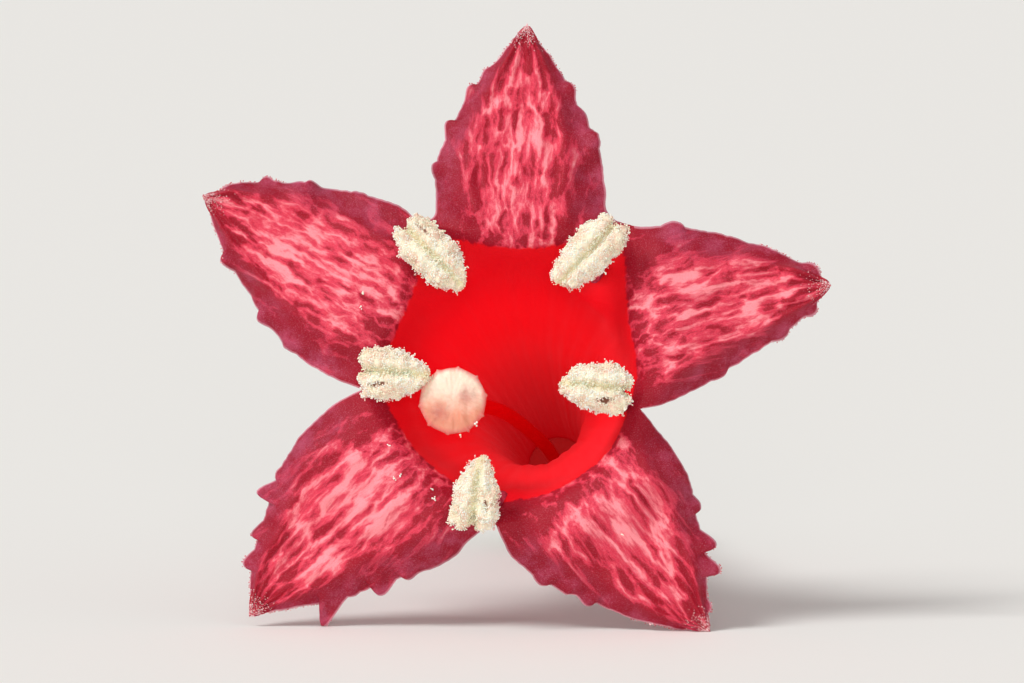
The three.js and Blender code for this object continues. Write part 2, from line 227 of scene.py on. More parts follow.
class Finish:
    def __init__(self, name, roughness=0.5, specular=0.4, sheen=0, subsurface=0, bleed=0.3):
        self.material = bpy.data.materials.new(name)
        self.material.use_nodes = True
        self.tree = self.material.node_tree
        self.shader = self.tree.nodes["Principled BSDF"]
        self.set("Roughness", roughness)
        self.set("Specular IOR Level", specular)
        self.set("Sheen Weight", sheen)
        self.set("Sheen Roughness", 0.35)
        self.set("Sheen Tint", linear(255, 205, 220))
        self.set("Subsurface Weight", subsurface)
        self.set("Subsurface Scale", bleed * mm)
        self.set("Subsurface Radius", (1, 0.3, 0.25))

    def set(self, socket, value):
        self.shader.inputs[socket].default_value = value

    def node(self, kind, links=None, **settings):
        node = self.tree.nodes.new(kind)
        for key, value in settings.items():
            setattr(node, key, value)
        for socket, source in (links or {}).items():
            target = node.inputs[socket]
            if isinstance(source, bpy.types.NodeSocket):
                self.tree.links.new(source, target)
            else:
                target.default_value = source
        return node

    def field(self, name, number=True):
        node = self.node("ShaderNodeAttribute", attribute_name=name)
        return node.outputs["Fac" if number else "Vector"]

    def maths(self, operation, a, b=0.0, clamp=False):
        return self.node("ShaderNodeMath", {0: a, 1: b}, operation=operation, use_clamp=clamp).outputs[0]

    def times(self, a, b):
        return self.maths("MULTIPLY", a, b)

    def plus(self, a, b):
        return self.maths("ADD", a, b)

    def parts(self, vector):
        return self.node("ShaderNodeSeparateXYZ", {0: vector}).outputs

    def length(self, vector):
        return self.node("ShaderNodeVectorMath", {0: vector}, operation="LENGTH").outputs["Value"]

    def scaled(self, vector, scale):
        return self.node("ShaderNodeVectorMath", {0: vector, 1: scale}, operation="MULTIPLY").outputs[0]

    def added(self, a, b):
        return self.node("ShaderNodeVectorMath", {0: a, 1: b}, operation="ADD").outputs[0]

    def noise(self, vector, scale=1.0, detail=2.0, roughness=0.5, colour=False):
        links = {"Vector": vector, "Scale": scale, "Detail": detail, "Roughness": roughness}
        return self.node("ShaderNodeTexNoise", links).outputs["Color" if colour else "Fac"]

    def cells(self, vector, scale=1.0, smoothness=0.4):
        links = {"Vector": vector, "Scale": scale, "Smoothness": smoothness}
        return self.node("ShaderNodeTexVoronoi", links, feature="SMOOTH_F1").outputs["Distance"]

    def between(self, value, low, high):  # 0 below low, 1 above high, smooth between
        links = {"Value": value, "From Min": low, "From Max": high}
        return self.node("ShaderNodeMapRange", links, interpolation_type="SMOOTHSTEP").outputs[0]

    def mix(self, factor, a, b):
        links = {0: factor, 6: a, 7: b}
        return self.node("ShaderNodeMix", links, data_type="RGBA", clamp_factor=True).outputs[2]

    def colour(self, socket):
        self.tree.links.new(socket, self.shader.inputs["Base Color"])

    def bump(self, height, depth, strength=1.0):
        node = self.node("ShaderNodeBump", {"Height": height, "Distance": depth * mm, "Strength": strength})
        self.tree.links.new(node.outputs[0], self.shader.inputs["Normal"])


# where the flower frame's zero lies in the row: the ovary is the same lathe in both
ovaryShape = {"foot": -26.05, "length": 4.1, "radius": 2.1, "sides": 24}


def ovaryOutline():
    bottom, radius, top = ovaryShape["foot"] - ovaryShape["length"], ovaryShape["radius"], ovaryShape["foot"]
    return np.array([[0, bottom], [0.45, bottom], [0.75, bottom + 0.35], [1.35, bottom + 1],
                     [1.85, bottom + 2], [radius, bottom + 3.1], [radius, top - 0.25],
                     [radius - 0.2, top], [0, top]])


def findOrigin():
    turn = np.linspace(0, 360, ovaryShape["sides"], endpoint=False)
    lathe = turned(np.concatenate([polar(turn, r, h) for r, h in ovaryOutline()]))
    low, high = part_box("ovary")
    return (np.array(low) + np.array(high)) / 2 / mm - (lathe.min(0) + lathe.max(0)) / 2


flowerOrigin = findOrigin()
print("flower frame at", flowerOrigin.round(3), flush=True)

# corolla: a slender tube that flares into five toothed lobes

corolla = {
    "columns": 44, "lobeRows": 104, "tubeRows": 44, "flareRows": 20,  # mesh fineness
    "tubeWall": 0.5, "lobeMiddle": 0.38, "lobeEdge": 0.13,
    "throatDepth": 1.5, "throatRadius": 3.72, "collarRadius": 4.75,
    "innerWall": [[-26, 1.15], [-20, 1.3], [-13, 1.68], [-7.5, 2.2], [-4, 2.95], [-1.5, 3.72]],
    "flareLean": 0.25, "flareRise": 0.8, "rimReach": 0.45, "rimDrop": 0.12,  # how the flare bends out
    "archHeight": 0.6, "archAt": 0.14, "archSpread": 0.24,
    "panelShare": 0.6, "wingDrop": 0.55,
    "veinDepth": 0.055, "creaseHeight": 0.07, "rippleHeight": 0.12, "serration": 0.03,
    # strength of the painted red light given off inside the throat
    "throatPaintedGlow": 0.25,
}

# each margin is [distance from the axis, half-width]; each tooth is [distance, length, half root, lean]
lobes = [
    {"angle": 16.1, "reach": 11.45, "tipHeight": -0.3,
     "left": [[5.9, 3.75], [6.8, 3.57], [8.1, 2.94], [9.4, 2.16], [10.6, 1.16]],
     "right": [[4.8, 2.38], [6.3, 2.08], [7.7, 1.66], [9, 1.3], [10.4, 0.74]],
     "leftTeeth": [[6.8, 0.14, 0.4, 0.4], [8.2, 0.08, 0.3, 0.4], [10.95, 0.22, 0.26, 0.3]],
     "rightTeeth": [[6.9, 0.1, 0.35, 0.3], [9.3, 0.1, 0.35, 0.3], [10.55, 0.16, 0.26, 0.3]]},
    {"angle": 87.7, "reach": 12.38, "tipHeight": 0.1,
     "left": [[5.65, 2.97], [7.2, 3.05], [8.7, 2.62], [10.1, 1.87], [11.4, 0.88]],
     "right": [[5.85, 3.09], [7, 2.9], [8.3, 2.63], [9.6, 1.93], [11, 1.1]],
     "leftTeeth": [[7.25, 0.16, 0.3, 0.5], [8.7, 0.26, 0.35, 0.7],
                   [10, 0.24, 0.3, 0.6], [10.7, 0.1, 0.22, 0.4]],
     "rightTeeth": [[8.5, 0.14, 0.35, 0.5], [9.4, 0.08, 0.3, 0.5], [10.2, 0.16, 0.32, 0.6]]},
    {"angle": 149, "reach": 12.65, "tipHeight": -0.2,
     "left": [[5.2, 3.18], [6.6, 3.2], [8.1, 2.85], [9.5, 2.17], [11.1, 1.3]],
     "right": [[6.4, 3.17], [7.6, 2.95], [8.9, 2.58], [10.2, 2.06], [11.6, 1.26]],
     "leftTeeth": [[7.3, 0.08, 0.3, 0.4], [8.6, 0.22, 0.3, 0.6], [10.7, 0.24, 0.3, 0.6]],
     "rightTeeth": [[8, 0.08, 0.3, 0.4], [9.6, 0.15, 0.24, 0.5], [11.1, 0.16, 0.22, 0.3]]},
    {"angle": 221.6, "reach": 12.3, "tipHeight": -0.8,
     "left": [[4.6, 3.22], [6, 3.2], [7.4, 2.62], [8.8, 1.97], [10.3, 1.22]],
     "right": [[5.3, 3.49], [7, 3.5], [8.6, 2.9], [9.9, 2.13], [11.2, 1.22]],
     "leftTeeth": [[7.25, 0.14, 0.25, 0.4], [8.1, 0.34, 0.4, 0.6],
                   [9.15, 0.1, 0.25, 0.3], [9.7, 0.85, 0.36, 0.8]],
     "rightTeeth": [[8.25, 0.14, 0.25, 0.4], [8.85, 0.46, 0.3, 0.5],
                    [10.05, 0.3, 0.3, 0.6], [10.95, 0.32, 0.28, 0.5]]},
    {"angle": 307.4, "reach": 11.1, "tipHeight": -0.8,
     "left": [[4.8, 2.85], [6.3, 2.74], [7.6, 2.12], [8.9, 1.54], [10, 0.74]],
     "right": [[4.8, 3.83], [6.2, 3.52], [7.6, 2.7], [9.1, 1.84], [10.3, 0.86]],
     "leftTeeth": [[7.25, 0.24, 0.3, 0.5], [8.45, 0.44, 0.34, 0.6],
                   [9.2, 0.48, 0.28, 0.5], [10.35, 0.16, 0.22, 0.3]],
     "rightTeeth": [[6.15, 0.16, 0.3, 0.5], [6.95, 0.08, 0.25, 0.4], [7.6, 0.22, 0.28, 0.5]]},
]
notches = [(51.9, 6.7), (121.7, 6.4), (184.2, 5.25), (263.4, 5.17), (345.4, 4.55)]  # angle, radius


def notchBefore(k):
    angle, radius = notches[k - 1]
    return (angle, radius) if k else (angle - 360, radius)


def marginOf(lobe, notch, side, shares, rng):
    turn = math.radians(notch[0] - lobe["angle"])
    drawn = lobe["left"] if side > 0 else lobe["right"]
    teeth = lobe["leftTeeth"] if side > 0 else lobe["rightTeeth"]
    knots = [[notch[1] * math.cos(turn), notch[1] * math.sin(turn)]]
    knots += [[out, side * half] for out, half in drawn] + [[lobe["reach"], 0]]
    plain = splinePoints(knots, shares)
    along = np.gradient(plain, axis=0)
    along /= np.linalg.norm(along, axis=1, keepdims=True)
    outward = np.stack([-along[:, 1], along[:, 0]], 1) * side
    push = np.zeros_like(plain)
    for out, length, root, lean in teeth:
        off = np.clip((plain[:, 0] - out) / root, -1, 1)
        rise = (length * np.cos(off * math.pi / 2) ** 0.8)[:, None]
        push += (outward + along * lean) * rise
    run = shares[:, None] * 9
    small = 0.7 * wander(rng, run, 1.3, 4) + 0.3 * wander(rng, run, 0.45, 4)
    push += outward * (corolla["serration"] * small * np.sin(math.pi * shares) ** 0.5)[:, None]
    return plain, push


def faceHeight(lobe, u, t, half, rng=None):
    rise = np.exp(-(((t - corolla["archAt"]) / corolla["archSpread"]) ** 2))
    arch = corolla["archHeight"] * (1 - u * u) * rise
    pastPanel = np.maximum(0, (np.abs(u) - corolla["panelShare"]) / (1 - corolla["panelShare"]))
    wing = corolla["wingDrop"] * pastPanel**1.4 * np.sin(math.pi * t)
    height = arch - wing + lobe["tipHeight"] * t**1.5
    if rng is None:
        return height
    body = smooth(0, 0.15, t) * smooth(1, 0.9, t)
    flat = np.stack([(u * half).ravel(), (t * 7).ravel()], 1)
    veins = np.cos(u * 19 + 0.8 * wander(rng, flat, 3).reshape(u.shape)) * (1 - np.abs(u) ** 3)
    midrib = -1.6 * np.exp(-((u / 0.07) ** 2))
    crease = np.exp(-(((np.abs(u) - corolla["panelShare"]) / 0.09) ** 2))
    ripple = wander(rng, flat, 2.2).reshape(u.shape) * (0.35 + np.abs(u) ** 3)
    puckers = wander(rng, flat * [1, 0.5], 0.7).reshape(u.shape) * 0.05
    height = height + body * (corolla["veinDepth"] * (veins + midrib) + puckers)
    return height + body * (corolla["creaseHeight"] * crease + corolla["rippleHeight"] * ripple)


def faceThickness(u, t):
    edge = corolla["lobeEdge"]
    return edge + (corolla["lobeMiddle"] - edge) * (1 - np.abs(u) ** 2.5) * (1 - t**3)


def flareAt(s, radius, height):  # the wall between the throat, s = 0, and the collar, s = 1
    start, low = corolla["throatRadius"], -corolla["throatDepth"]
    weights = [(1 - s) ** 3, 3 * s * (1 - s) ** 2, 3 * s * s * (1 - s), s**3]
    radii = [start, start + corolla["flareLean"], radius - corolla["rimReach"], radius]
    heights = [low, low + corolla["flareRise"], height - corolla["rimDrop"], height]
    return [sum(w * v for w, v in zip(weights, values)) for values in (radii, heights)]


def buildCorolla():
    rng = np.random.default_rng(11)
    columns, lobeRows = corolla["columns"], corolla["lobeRows"]
    even = np.linspace(-1, 1, columns + 1)
    us = 0.6 * even + 0.4 * np.sin(even * math.pi / 2)  # closer together near the margins
    ring = columns * len(lobes)
    u, share = us[:-1], np.abs(us[:-1])
    collar = []
    for k, lobe in enumerate(lobes):
        before, after = notchBefore(k), notches[k]
        angle = np.where(u < 0, before[0], after[0])
        radius = np.where(u < 0, before[1], after[1])
        collar.append([lobe["angle"] + share * (angle - lobe["angle"]),
                       corolla["collarRadius"] + (radius - corolla["collarRadius"]) * share**2,
                       faceHeight(lobe, u, np.zeros_like(u), 3), u])
    collarAngle, collarRadius, collarHeight, ringU = np.concatenate(collar, axis=1)

    points, thick, throat = [], [], []
    turn = np.radians(collarAngle)
    ribs = 0.02 * np.cos(turn * 30) + 0.03 * np.cos(turn * 10)
    for height, radius in splinePoints(corolla["innerWall"], np.linspace(0, 1, corolla["tubeRows"] + 1)):
        points.append(polar(collarAngle, radius + ribs * smooth(-26, -22, height), height))
        thick.append(np.full(ring, corolla["tubeWall"]))
        throat.append(np.ones(ring))
    turning = 0.48 + 0.16 * np.sin(turn)  # the red reaches higher on the upper side
    for row in range(1, corolla["flareRows"] + 1):
        s = row / corolla["flareRows"]
        radius, height = flareAt(s, collarRadius, collarHeight)
        points.append(polar(collarAngle, radius + ribs * (1 - s), height))
        thick.append(corolla["tubeWall"] * (1 - s) + faceThickness(ringU, 0) * s)
        throat.append(1 - smooth(turning, turning + 0.3, s))
    ringRows = len(points)
    count = ringRows * ring
    collarRow = count - ring
    points, thick, throat = ([np.concatenate(values)] for values in (points, thick, throat))
    lobeShare, sideShare, marginGap = [np.zeros(count)], [np.tile(ringU, ringRows)], [np.full(count, 9.0)]
    grid = ringGrid(ringRows, ring)
    quads, triangles = [grid[:, [0, 3, 2, 1]]], []
    lobeOfQuad, lobeOfTriangle = [(np.arange(len(grid)) % ring) // columns], []
    shares = np.linspace(0, 1, lobeRows + 1)
    for k, lobe in enumerate(lobes):
        left, leftPush = marginOf(lobe, notches[k], 1, shares, rng)
        right, rightPush = marginOf(lobe, notchBefore(k), -1, shares, rng)
        heading = math.radians(lobe["angle"])
        spin = np.array([[math.cos(heading), math.sin(heading)], [-math.sin(heading), math.cos(heading)]])
        first = collarRow + (k * columns + np.arange(columns + 1)) % ring
        base = points[0][first][:, :2] @ spin.T
        across = ((us + 1) / 2)[:, None]
        bulge = base - (right[0] * (1 - across) + left[0] * across)
        t = shares[1:-1][:, None]
        u = np.broadcast_to(us, (lobeRows - 1, columns + 1))
        flat = right[1:-1, None] * (1 - across) + left[1:-1, None] * across
        flat = flat + bulge * ((1 - t) ** 3)[..., None]
        half = np.linalg.norm(left - right, axis=1)[1:-1][:, None] / 2
        flat = flat + rightPush[1:-1, None] * smooth(0.72, 1, -u)[..., None]
        flat = flat + leftPush[1:-1, None] * smooth(0.72, 1, u)[..., None]
        t = np.broadcast_to(t, u.shape)
        height = faceHeight(lobe, u, t, half, rng)
        tip = np.array([[lobe["reach"], 0]])
        flat = np.concatenate([flat.reshape(-1, 2), tip]) @ spin
        heights = np.append(height.ravel(), lobe["tipHeight"])
        points.append(np.column_stack([flat, heights]))
        thick.append(np.append(faceThickness(u, t).ravel(), corolla["lobeEdge"]))
        lobeShare.append(np.append(t.ravel(), 1))
        sideShare.append(np.append(u.ravel(), 0))
        gap = np.minimum((1 - np.abs(u)) * half, (1 - t) * 9)
        marginGap.append(np.append(gap.ravel(), 0))
        throat.append(np.zeros(t.size + 1))
        tipId = count + (lobeRows - 1) * (columns + 1)
        rows = np.concatenate([first[None], np.arange(count, tipId).reshape(-1, columns + 1)])
        a, b, c, d = rows[:-1, :-1], rows[:-1, 1:], rows[1:, 1:], rows[1:, :-1]
        strip = np.stack([a, d, c, b], -1).reshape(-1, 4)
        quads.append(strip)
        lobeOfQuad.append(np.full(len(strip), k))
        triangles.append(np.stack([rows[-1, :-1], np.full(columns, tipId), rows[-1, 1:]], 1))
        lobeOfTriangle.append(np.full(columns, k))
        count = tipId + 1
    points, thick, quads, triangles = map(np.concatenate, (points, thick, quads, triangles))
    lobeShare, sideShare, marginGap = map(np.concatenate, (lobeShare, sideShare, marginGap))
    lobeOfQuad, lobeOfTriangle = np.concatenate(lobeOfQuad), np.concatenate(lobeOfTriangle)
    allPoints, allQuads, allTriangles, normals, edges = thickened(points, quads, triangles, thick)
    lobeAngles = np.array([lobe["angle"] for lobe in lobes])
    rim = points[edges[:, 0]]
    away = np.degrees(np.arctan2(rim[:, 1], rim[:, 0]))[:, None] - lobeAngles
    stripLobe = np.abs((away + 180) % 360 - 180).argmin(1)
    lobeOfFace = np.concatenate([np.repeat(np.concatenate([lobeOfQuad, lobeOfQuad, stripLobe]), 4),
                                 np.repeat(np.concatenate([lobeOfTriangle, lobeOfTriangle]), 3)])
    corners = np.concatenate([allQuads.ravel(), allTriangles.ravel()])
    place = allPoints[corners]
    heading = np.radians(lobeAngles)[lobeOfFace]
    out = place[:, 0] * np.cos(heading) + place[:, 1] * np.sin(heading)
    side = place[:, 1] * np.cos(heading) - place[:, 0] * np.sin(heading)
    fan = np.tile(sideShare, 2)[corners]
    fields = {
        "petalSpace": np.column_stack([0.8 * side + 0.6 * fan, out + place[:, 2], lobeOfFace * 7.3]),
        "flowerSpace": allPoints,
        "along": np.tile(lobeShare, 2),
        "aside": np.abs(np.tile(sideShare, 2)),
        "throat": np.tile(np.concatenate(throat), 2),
        "marginGap": np.tile(marginGap, 2),
        "outside": np.repeat([0, 1], len(points)),
    }
    addPiece("corolla_bloom", allPoints, allQuads, allTriangles, petalFinish(),
             ["corolla"], fields)
    return points, normals, lobeShare, marginGap


petalColours = {
    "pale": linear(255, 150, 158),
    "rose": linear(220, 56, 82),
    "crimson": linear(160, 0, 32),
    "maroon": linear(140, 6, 42),
    # painted sheen: this pale mauve laid over the margins stands in for light on the velvet
    "bloom": linear(200, 92, 126),
    "throat": linear(236, 0, 22),
    "deep": linear(226, 0, 14),
    "edge": linear(236, 168, 184),
    "back": linear(196, 52, 84),
    "tube": linear(168, 14, 38),
}


def petalFinish():
    f = Finish("petal_velvet", roughness=0.6, specular=0.25, sheen=0.12, subsurface=0.3, bleed=0.35)
    c = petalColours
    petal, flower = f.field("petalSpace", False), f.field("flowerSpace", False)
    along, aside, throat = f.field("along"), f.field("aside"), f.field("throat")
    gap, outside = f.field("marginGap"), f.field("outside")
    warp = f.scaled(f.added(f.noise(petal, 1.6, 2, colour=True), (-0.5, -0.5, -0.5)), (0.5, 1.2, 0))
    bent = f.added(petal, warp)
    blotches = f.cells(f.scaled(bent, (3.3, 1.25, 1)), 1.0, 0.25)
    streaks = f.noise(f.scaled(bent, (3.4, 0.8, 1)), 1.0, 3, 0.6)
    flecks = f.noise(f.scaled(petal, (9, 4, 1)), 1.0, 3, 0.7)
    broad = f.noise(f.scaled(petal, (0.9, 0.45, 1)), 1.0, 1, 0.5)
    # the middle panel is mostly pale, the sides, tip and mouth mostly dark
    dark = f.between(aside, 0.3, 0.95)
    dark = f.plus(dark, f.times(f.between(along, 0.55, 0.95), 0.6))
    dark = f.plus(dark, f.times(f.between(along, 0.16, -0.02), 0.45))
    value = f.plus(f.times(blotches, 0.75), f.times(streaks, 1.0))
    value = f.plus(value, f.times(flecks, 0.5))
    value = f.plus(value, f.times(broad, 0.5))
    value = f.maths("SUBTRACT", value, f.times(dark, 0.4))
    colour = f.mix(f.between(value, 1.07, 1.32), c["crimson"], c["rose"])
    colour = f.mix(f.between(value, 1.3, 1.64), colour, c["pale"])
    # maroon towards the margins, and over it a pale mauve painted sheen that stands in for light catching the
    # velvety wings
    grain = f.noise(flower, 26, 2, 0.7)
    clouds = f.noise(flower, 1.3, 4, 0.6)
    wing = f.between(aside, 0.5, 1.0)
    wing = f.times(wing, f.between(along, 0.0, 0.2))
    colour = f.mix(f.times(wing, 0.6), colour, c["maroon"])
    paintedSheenMask = f.times(f.between(f.plus(clouds, f.times(grain, 0.25)), 0.5, 0.85), wing)
    colour = f.mix(f.times(paintedSheenMask, 0.5), colour, c["bloom"])
    ragged = f.plus(throat, f.times(f.maths("SUBTRACT", streaks, 0.5), 1.1))
    colour = f.mix(f.between(ragged, 0.3, 0.7), colour, c["throat"])
    height = f.parts(flower)[2]
    # darker red deeper in the tube: painted shade in the depth of the throat
    colour = f.mix(f.between(height, -4, -12), colour, c["deep"])
    colour = f.mix(f.times(f.between(gap, 0.07, 0.02), 0.7), colour, c["edge"])
    lines = f.noise(f.scaled(petal, (5, 0.25, 1)), 1.0, 3, 0.6)
    tube = f.mix(f.between(lines, 0.4, 0.7), c["tube"], c["back"])
    under = f.mix(f.between(height, -6, 0), tube, f.mix(f.between(value, 0.9, 1.6), c["tube"], c["back"]))
    colour = f.mix(outside, colour, under)
    speckle = f.times(f.between(grain, 0.5, 0.72), f.times(f.between(throat, 0.5, 0), 0.14))
    colour = f.mix(speckle, colour, c["edge"])
    colour = f.mix(f.times(f.between(grain, 0.5, 0.3), 0.2), colour, c["crimson"])
    f.colour(colour)
    # painted light: the inside of the tube gives off red light of its own, standing in for daylight that
    # soaks through the thin wall
    paintedGlow = f.times(throat, f.maths("SUBTRACT", 1, outside))
    paintedGlow = f.times(paintedGlow, f.between(height, 0.2, -4))
    paintedGlow = f.maths("SUBTRACT", paintedGlow, f.times(f.between(height, -5, -20), 0.4), True)
    f.set("Emission Color", c["throat"])
    f.tree.links.new(f.times(paintedGlow, corolla["throatPaintedGlow"]), f.shader.inputs["Emission Strength"])
    f.material.cycles.emission_sampling = "NONE"
    f.bump(f.plus(f.noise(flower, 20, 2, 0.6), f.times(lines, 0.6)), 0.03, 0.6)
    return f.material


print("corolla", flush=True)
facePoints, faceNormals, faceAlong, faceGap = buildCorolla()

# stamens: bilobed anthers smothered in pollen, on short filaments

stamens = [  # heading points to the outer end; inner and outer are width shares at the ends
    {"place": [2.72, 4.18, 1.05], "heading": 47, "length": 3.0, "width": 1.6, "inner": 0.85, "slits": []},
    {"place": [-2.78, 4.2, 1.05], "heading": 134, "length": 3.0, "width": 1.7, "inner": 0.8,
     "slits": [[0.45, -0.45, 0.3, 0.08]]},
    {"place": [-4.12, 0.04, 0.95], "heading": 176, "length": 2.4, "width": 2.1, "inner": 0.55,
     "slits": [[0.35, 0.45, 0.4, 0.12]]},
    {"place": [-1.2, -4.2, 1], "heading": 264, "length": 2.5, "width": 2.1, "inner": 0.4,
     "slits": [[0.3, 0.4, 0.25, 0.08]]},
    {"place": [2.98, -0.52, 1], "heading": 353, "length": 2.4, "width": 1.95, "inner": 0.6,
     "slits": [[0.3, -0.5, 0.35, 0.14]]},
]
anther = {"height": 1.05, "rows": 72, "around": 64, "notchDepth": 0.34, "grooveDepth": 0.5,
          "grains": 3500, "grainRadius": 0.025, "tufts": 90, "lumps": 34, "lumpHeight": 0.13}


def antherBody(stamen, rng):
    rows, around = anther["rows"], anther["around"]
    x = -np.cos(np.linspace(0.04, math.pi - 0.04, rows))[:, None]
    turn = np.linspace(0, 2 * math.pi, around, endpoint=False)[None]
    girth = (1 - np.abs(x) ** 2.6) ** 0.5
    taper = stamen["inner"] + (1 - stamen["inner"]) * (x + 1) / 2
    y = np.cos(turn) * girth * taper
    z = np.sin(turn) * girth * (0.75 + 0.25 * taper)
    groove = np.exp(-((y / 0.16) ** 2))
    z = z * (1 - anther["grooveDepth"] * groove * (z > 0))
    along = x * (1 - anther["notchDepth"] * groove * np.maximum(0, x) ** 2) + 0 * y
    z = z + 0.16 * np.exp(-((np.abs(y) - 0.45) / 0.25) ** 2) * girth * np.sign(z)
    flat = np.stack([along.ravel() * stamen["length"] / 2, y.ravel() * stamen["width"] / 2,
                     z.ravel() * anther["height"] / 2], 1)
    flat *= (1 + 0.06 * wander(rng, flat, 0.9) + 0.045 * wander(rng, flat, 0.35))[:, None]
    return capped(flat, around)


def slitDepth(stamen, flat):  # how deep a point lies in one of the anther's open slits
    deep = np.zeros(len(flat))
    for out, side, length, width in stamen["slits"]:
        dx = (flat[:, 0] / (stamen["length"] / 2) - out) / length
        dy = (flat[:, 1] / (stamen["width"] / 2) - side - 0.15 * dx * length) / width
        deep = np.maximum(deep, np.exp(-(dx**2 + dy**2)) * (flat[:, 2] > 0))
    return deep


def buildStamen(index, stamen):
    rng = np.random.default_rng(40 + index)
    points, quads, caps = antherBody(stamen, rng)
    triangles = np.concatenate([split(quads), caps])
    normals = vertexNormals(points, triangles)
    deep = slitDepth(stamen, points) * (0.75 + 0.35 * wander(rng, points, 0.12))
    relief = 0.045 * wander(rng, points, 0.45, 12) + 0.028 * wander(rng, points, 0.2, 12)
    points = points + normals * (relief - 0.12 * deep)[:, None]
    normals = vertexNormals(points, triangles)
    a, b, c = (points[triangles[:, i]] for i in range(3))
    area = np.linalg.norm(np.cross(b - a, c - a), axis=1)
    pick = rng.choice(len(triangles), anther["grains"], p=area / area.sum())
    w = rng.dirichlet([1, 1, 1], len(pick))
    spots = (points[triangles[pick]] * w[..., None]).sum(1)
    outward = (normals[triangles[pick]] * w[..., None]).sum(1)
    bare = slitDepth(stamen, spots) * 0.8
    keep = (bare < rng.uniform(0.25, 0.8, len(spots))) & (wander(rng, spots, 0.8) > -1.9)
    spots, outward = spots[keep], outward[keep]
    lift = rng.uniform(-0.012, 0.022, len(spots)) + 0.03 * np.maximum(0, wander(rng, spots, 0.25))
    for lump in spots[rng.choice(len(spots), anther["lumps"])]:  # pollen clings together in lumps
        reach = np.linalg.norm(spots - lump, axis=1) / rng.uniform(0.1, 0.22)
        lift += (anther["lumpHeight"] * rng.uniform(0.2, 1) * np.exp(-(reach**2))
                 * rng.uniform(0.2, 1, len(spots)))
    grains = [spots + outward * lift[:, None]]
    side = np.abs(outward[:, 2]) < 0.75  # tufts stand out round the anther's outline
    roots = rng.choice(np.flatnonzero(side), anther["tufts"])
    for root in roots:
        size = rng.integers(4, 12)
        reach = np.sort(rng.uniform(0, 1, size))[:, None] * rng.uniform(0.05, 0.17)
        grains.append(spots[root] + outward[root] * reach + rng.normal(0, 0.022, (size, 3)))
    grains = np.concatenate(grains)
    radii = anther["grainRadius"] * rng.uniform(0.8, 1.25, len(grains))
    grainPoints, grainFaces = balls(rng, grains, radii, rng.uniform(0.8, 1.15, (len(grains), 3)))
    tone = np.repeat(rng.uniform(0, 1, len(grains)), len(ballPoints))
    heading = math.radians(stamen["heading"])
    cos, sin = math.cos(heading), math.sin(heading)
    spin = np.array([[cos, sin, 0], [-sin, cos, 0], [0, 0, 1]])
    half = np.array([stamen["length"], stamen["width"], anther["height"]]) / 2
    name = f"anther_{index + 1}"
    addPiece(name + "_lobes", points @ spin + stamen["place"], quads, caps, antherFinish(),
             [name], {"spot": points / half, "flowerSpace": points, "slit": deep})
    addPiece(name + "_pollen", grainPoints @ spin + stamen["place"], None, grainFaces, pollenFinish(),
             [], {"spot": grainPoints / half, "flowerSpace": grainPoints, "tone": tone})


# the pink is painted shade under the pollen; the brown is partly painted shade in the open slits
antherColours = {
    "cream": linear(255, 252, 240), "ivory": linear(252, 240, 214), "peach": linear(240, 206, 184),
    "yellow": linear(236, 226, 180), "brown": linear(132, 84, 66), "pink": linear(250, 188, 184),
}


@cache
def antherFinish():
    f = Finish("anther_wall", roughness=0.7, specular=0.25, sheen=0.1, subsurface=0.2, bleed=0.25)
    c = antherColours
    spot, slit = f.parts(f.field("spot", False)), f.field("slit")
    flower = f.field("flowerSpace", False)
    patches = f.noise(flower, 2.2, 3, 0.6)
    colour = f.mix(f.between(patches, 0.4, 0.65), c["ivory"], c["peach"])
    middle = f.maths("ABSOLUTE", spot[1])
    colour = f.mix(f.times(f.between(middle, 0.25, 0.0), 0.7), colour, c["yellow"])
    # the bare wall in the open slits is painted brown, partly its own colour and partly painted shade in
    # these hollows
    colour = f.mix(f.between(slit, 0.25, 0.75), colour, c["brown"])
    f.colour(colour)
    f.bump(f.noise(flower, 18, 3, 0.7), 0.04, 0.8)
    return f.material


@cache
def pollenFinish():
    f = Finish("pollen_grain", roughness=0.6, specular=0.35, subsurface=0.25, bleed=0.06)
    c = antherColours
    spot = f.parts(f.field("spot", False))
    tone, flower = f.field("tone"), f.field("flowerSpace", False)
    patches = f.noise(flower, 1.6, 3, 0.6)
    colour = f.mix(f.between(patches, 0.42, 0.66), c["cream"], c["ivory"])
    middle = f.maths("ABSOLUTE", spot[1])
    colour = f.mix(f.times(f.between(middle, 0.3, 0.0), 0.4), colour, c["yellow"])
    # painted shade: the pollen turns pinker on the underside of the anther
    colour = f.mix(f.times(f.between(spot[2], 0.15, -0.5), 0.75), colour, c["pink"])
    colour = f.mix(f.times(f.between(tone, 0.8, 1.0), 0.25), colour, c["peach"])
    f.colour(colour)
    f.bump(f.noise(flower, 60, 1, 0.5), 0.004, 0.5)
    return f.material


filament = {"radius": 0.22, "flareShare": 0.35, "headShare": 0.3,
            "colour": linear(150, 22, 56), "tint": linear(206, 84, 112)}


def patchySkin(name, colours, patch, bounds, relief, **skin):  # two colours in patches and a fine bump
    f = Finish(name, subsurface=0.3, bleed=0.3, specular=0.4, **skin)
    flower = f.field("flowerSpace", False)
    patches = f.between(f.noise(flower, patch, 3, 0.6), *bounds)
    f.colour(f.mix(patches, colours["colour"], colours["tint"]))
    f.bump(f.noise(flower, relief["scale"], 2, 0.6), 0.02, relief["strength"])
    return f.material


@cache
def filamentFinish():
    return patchySkin("filament_skin", filament, 3, (0.4, 0.65), {"scale": 16, "strength": 0.6},
                      roughness=0.5, sheen=0.1)


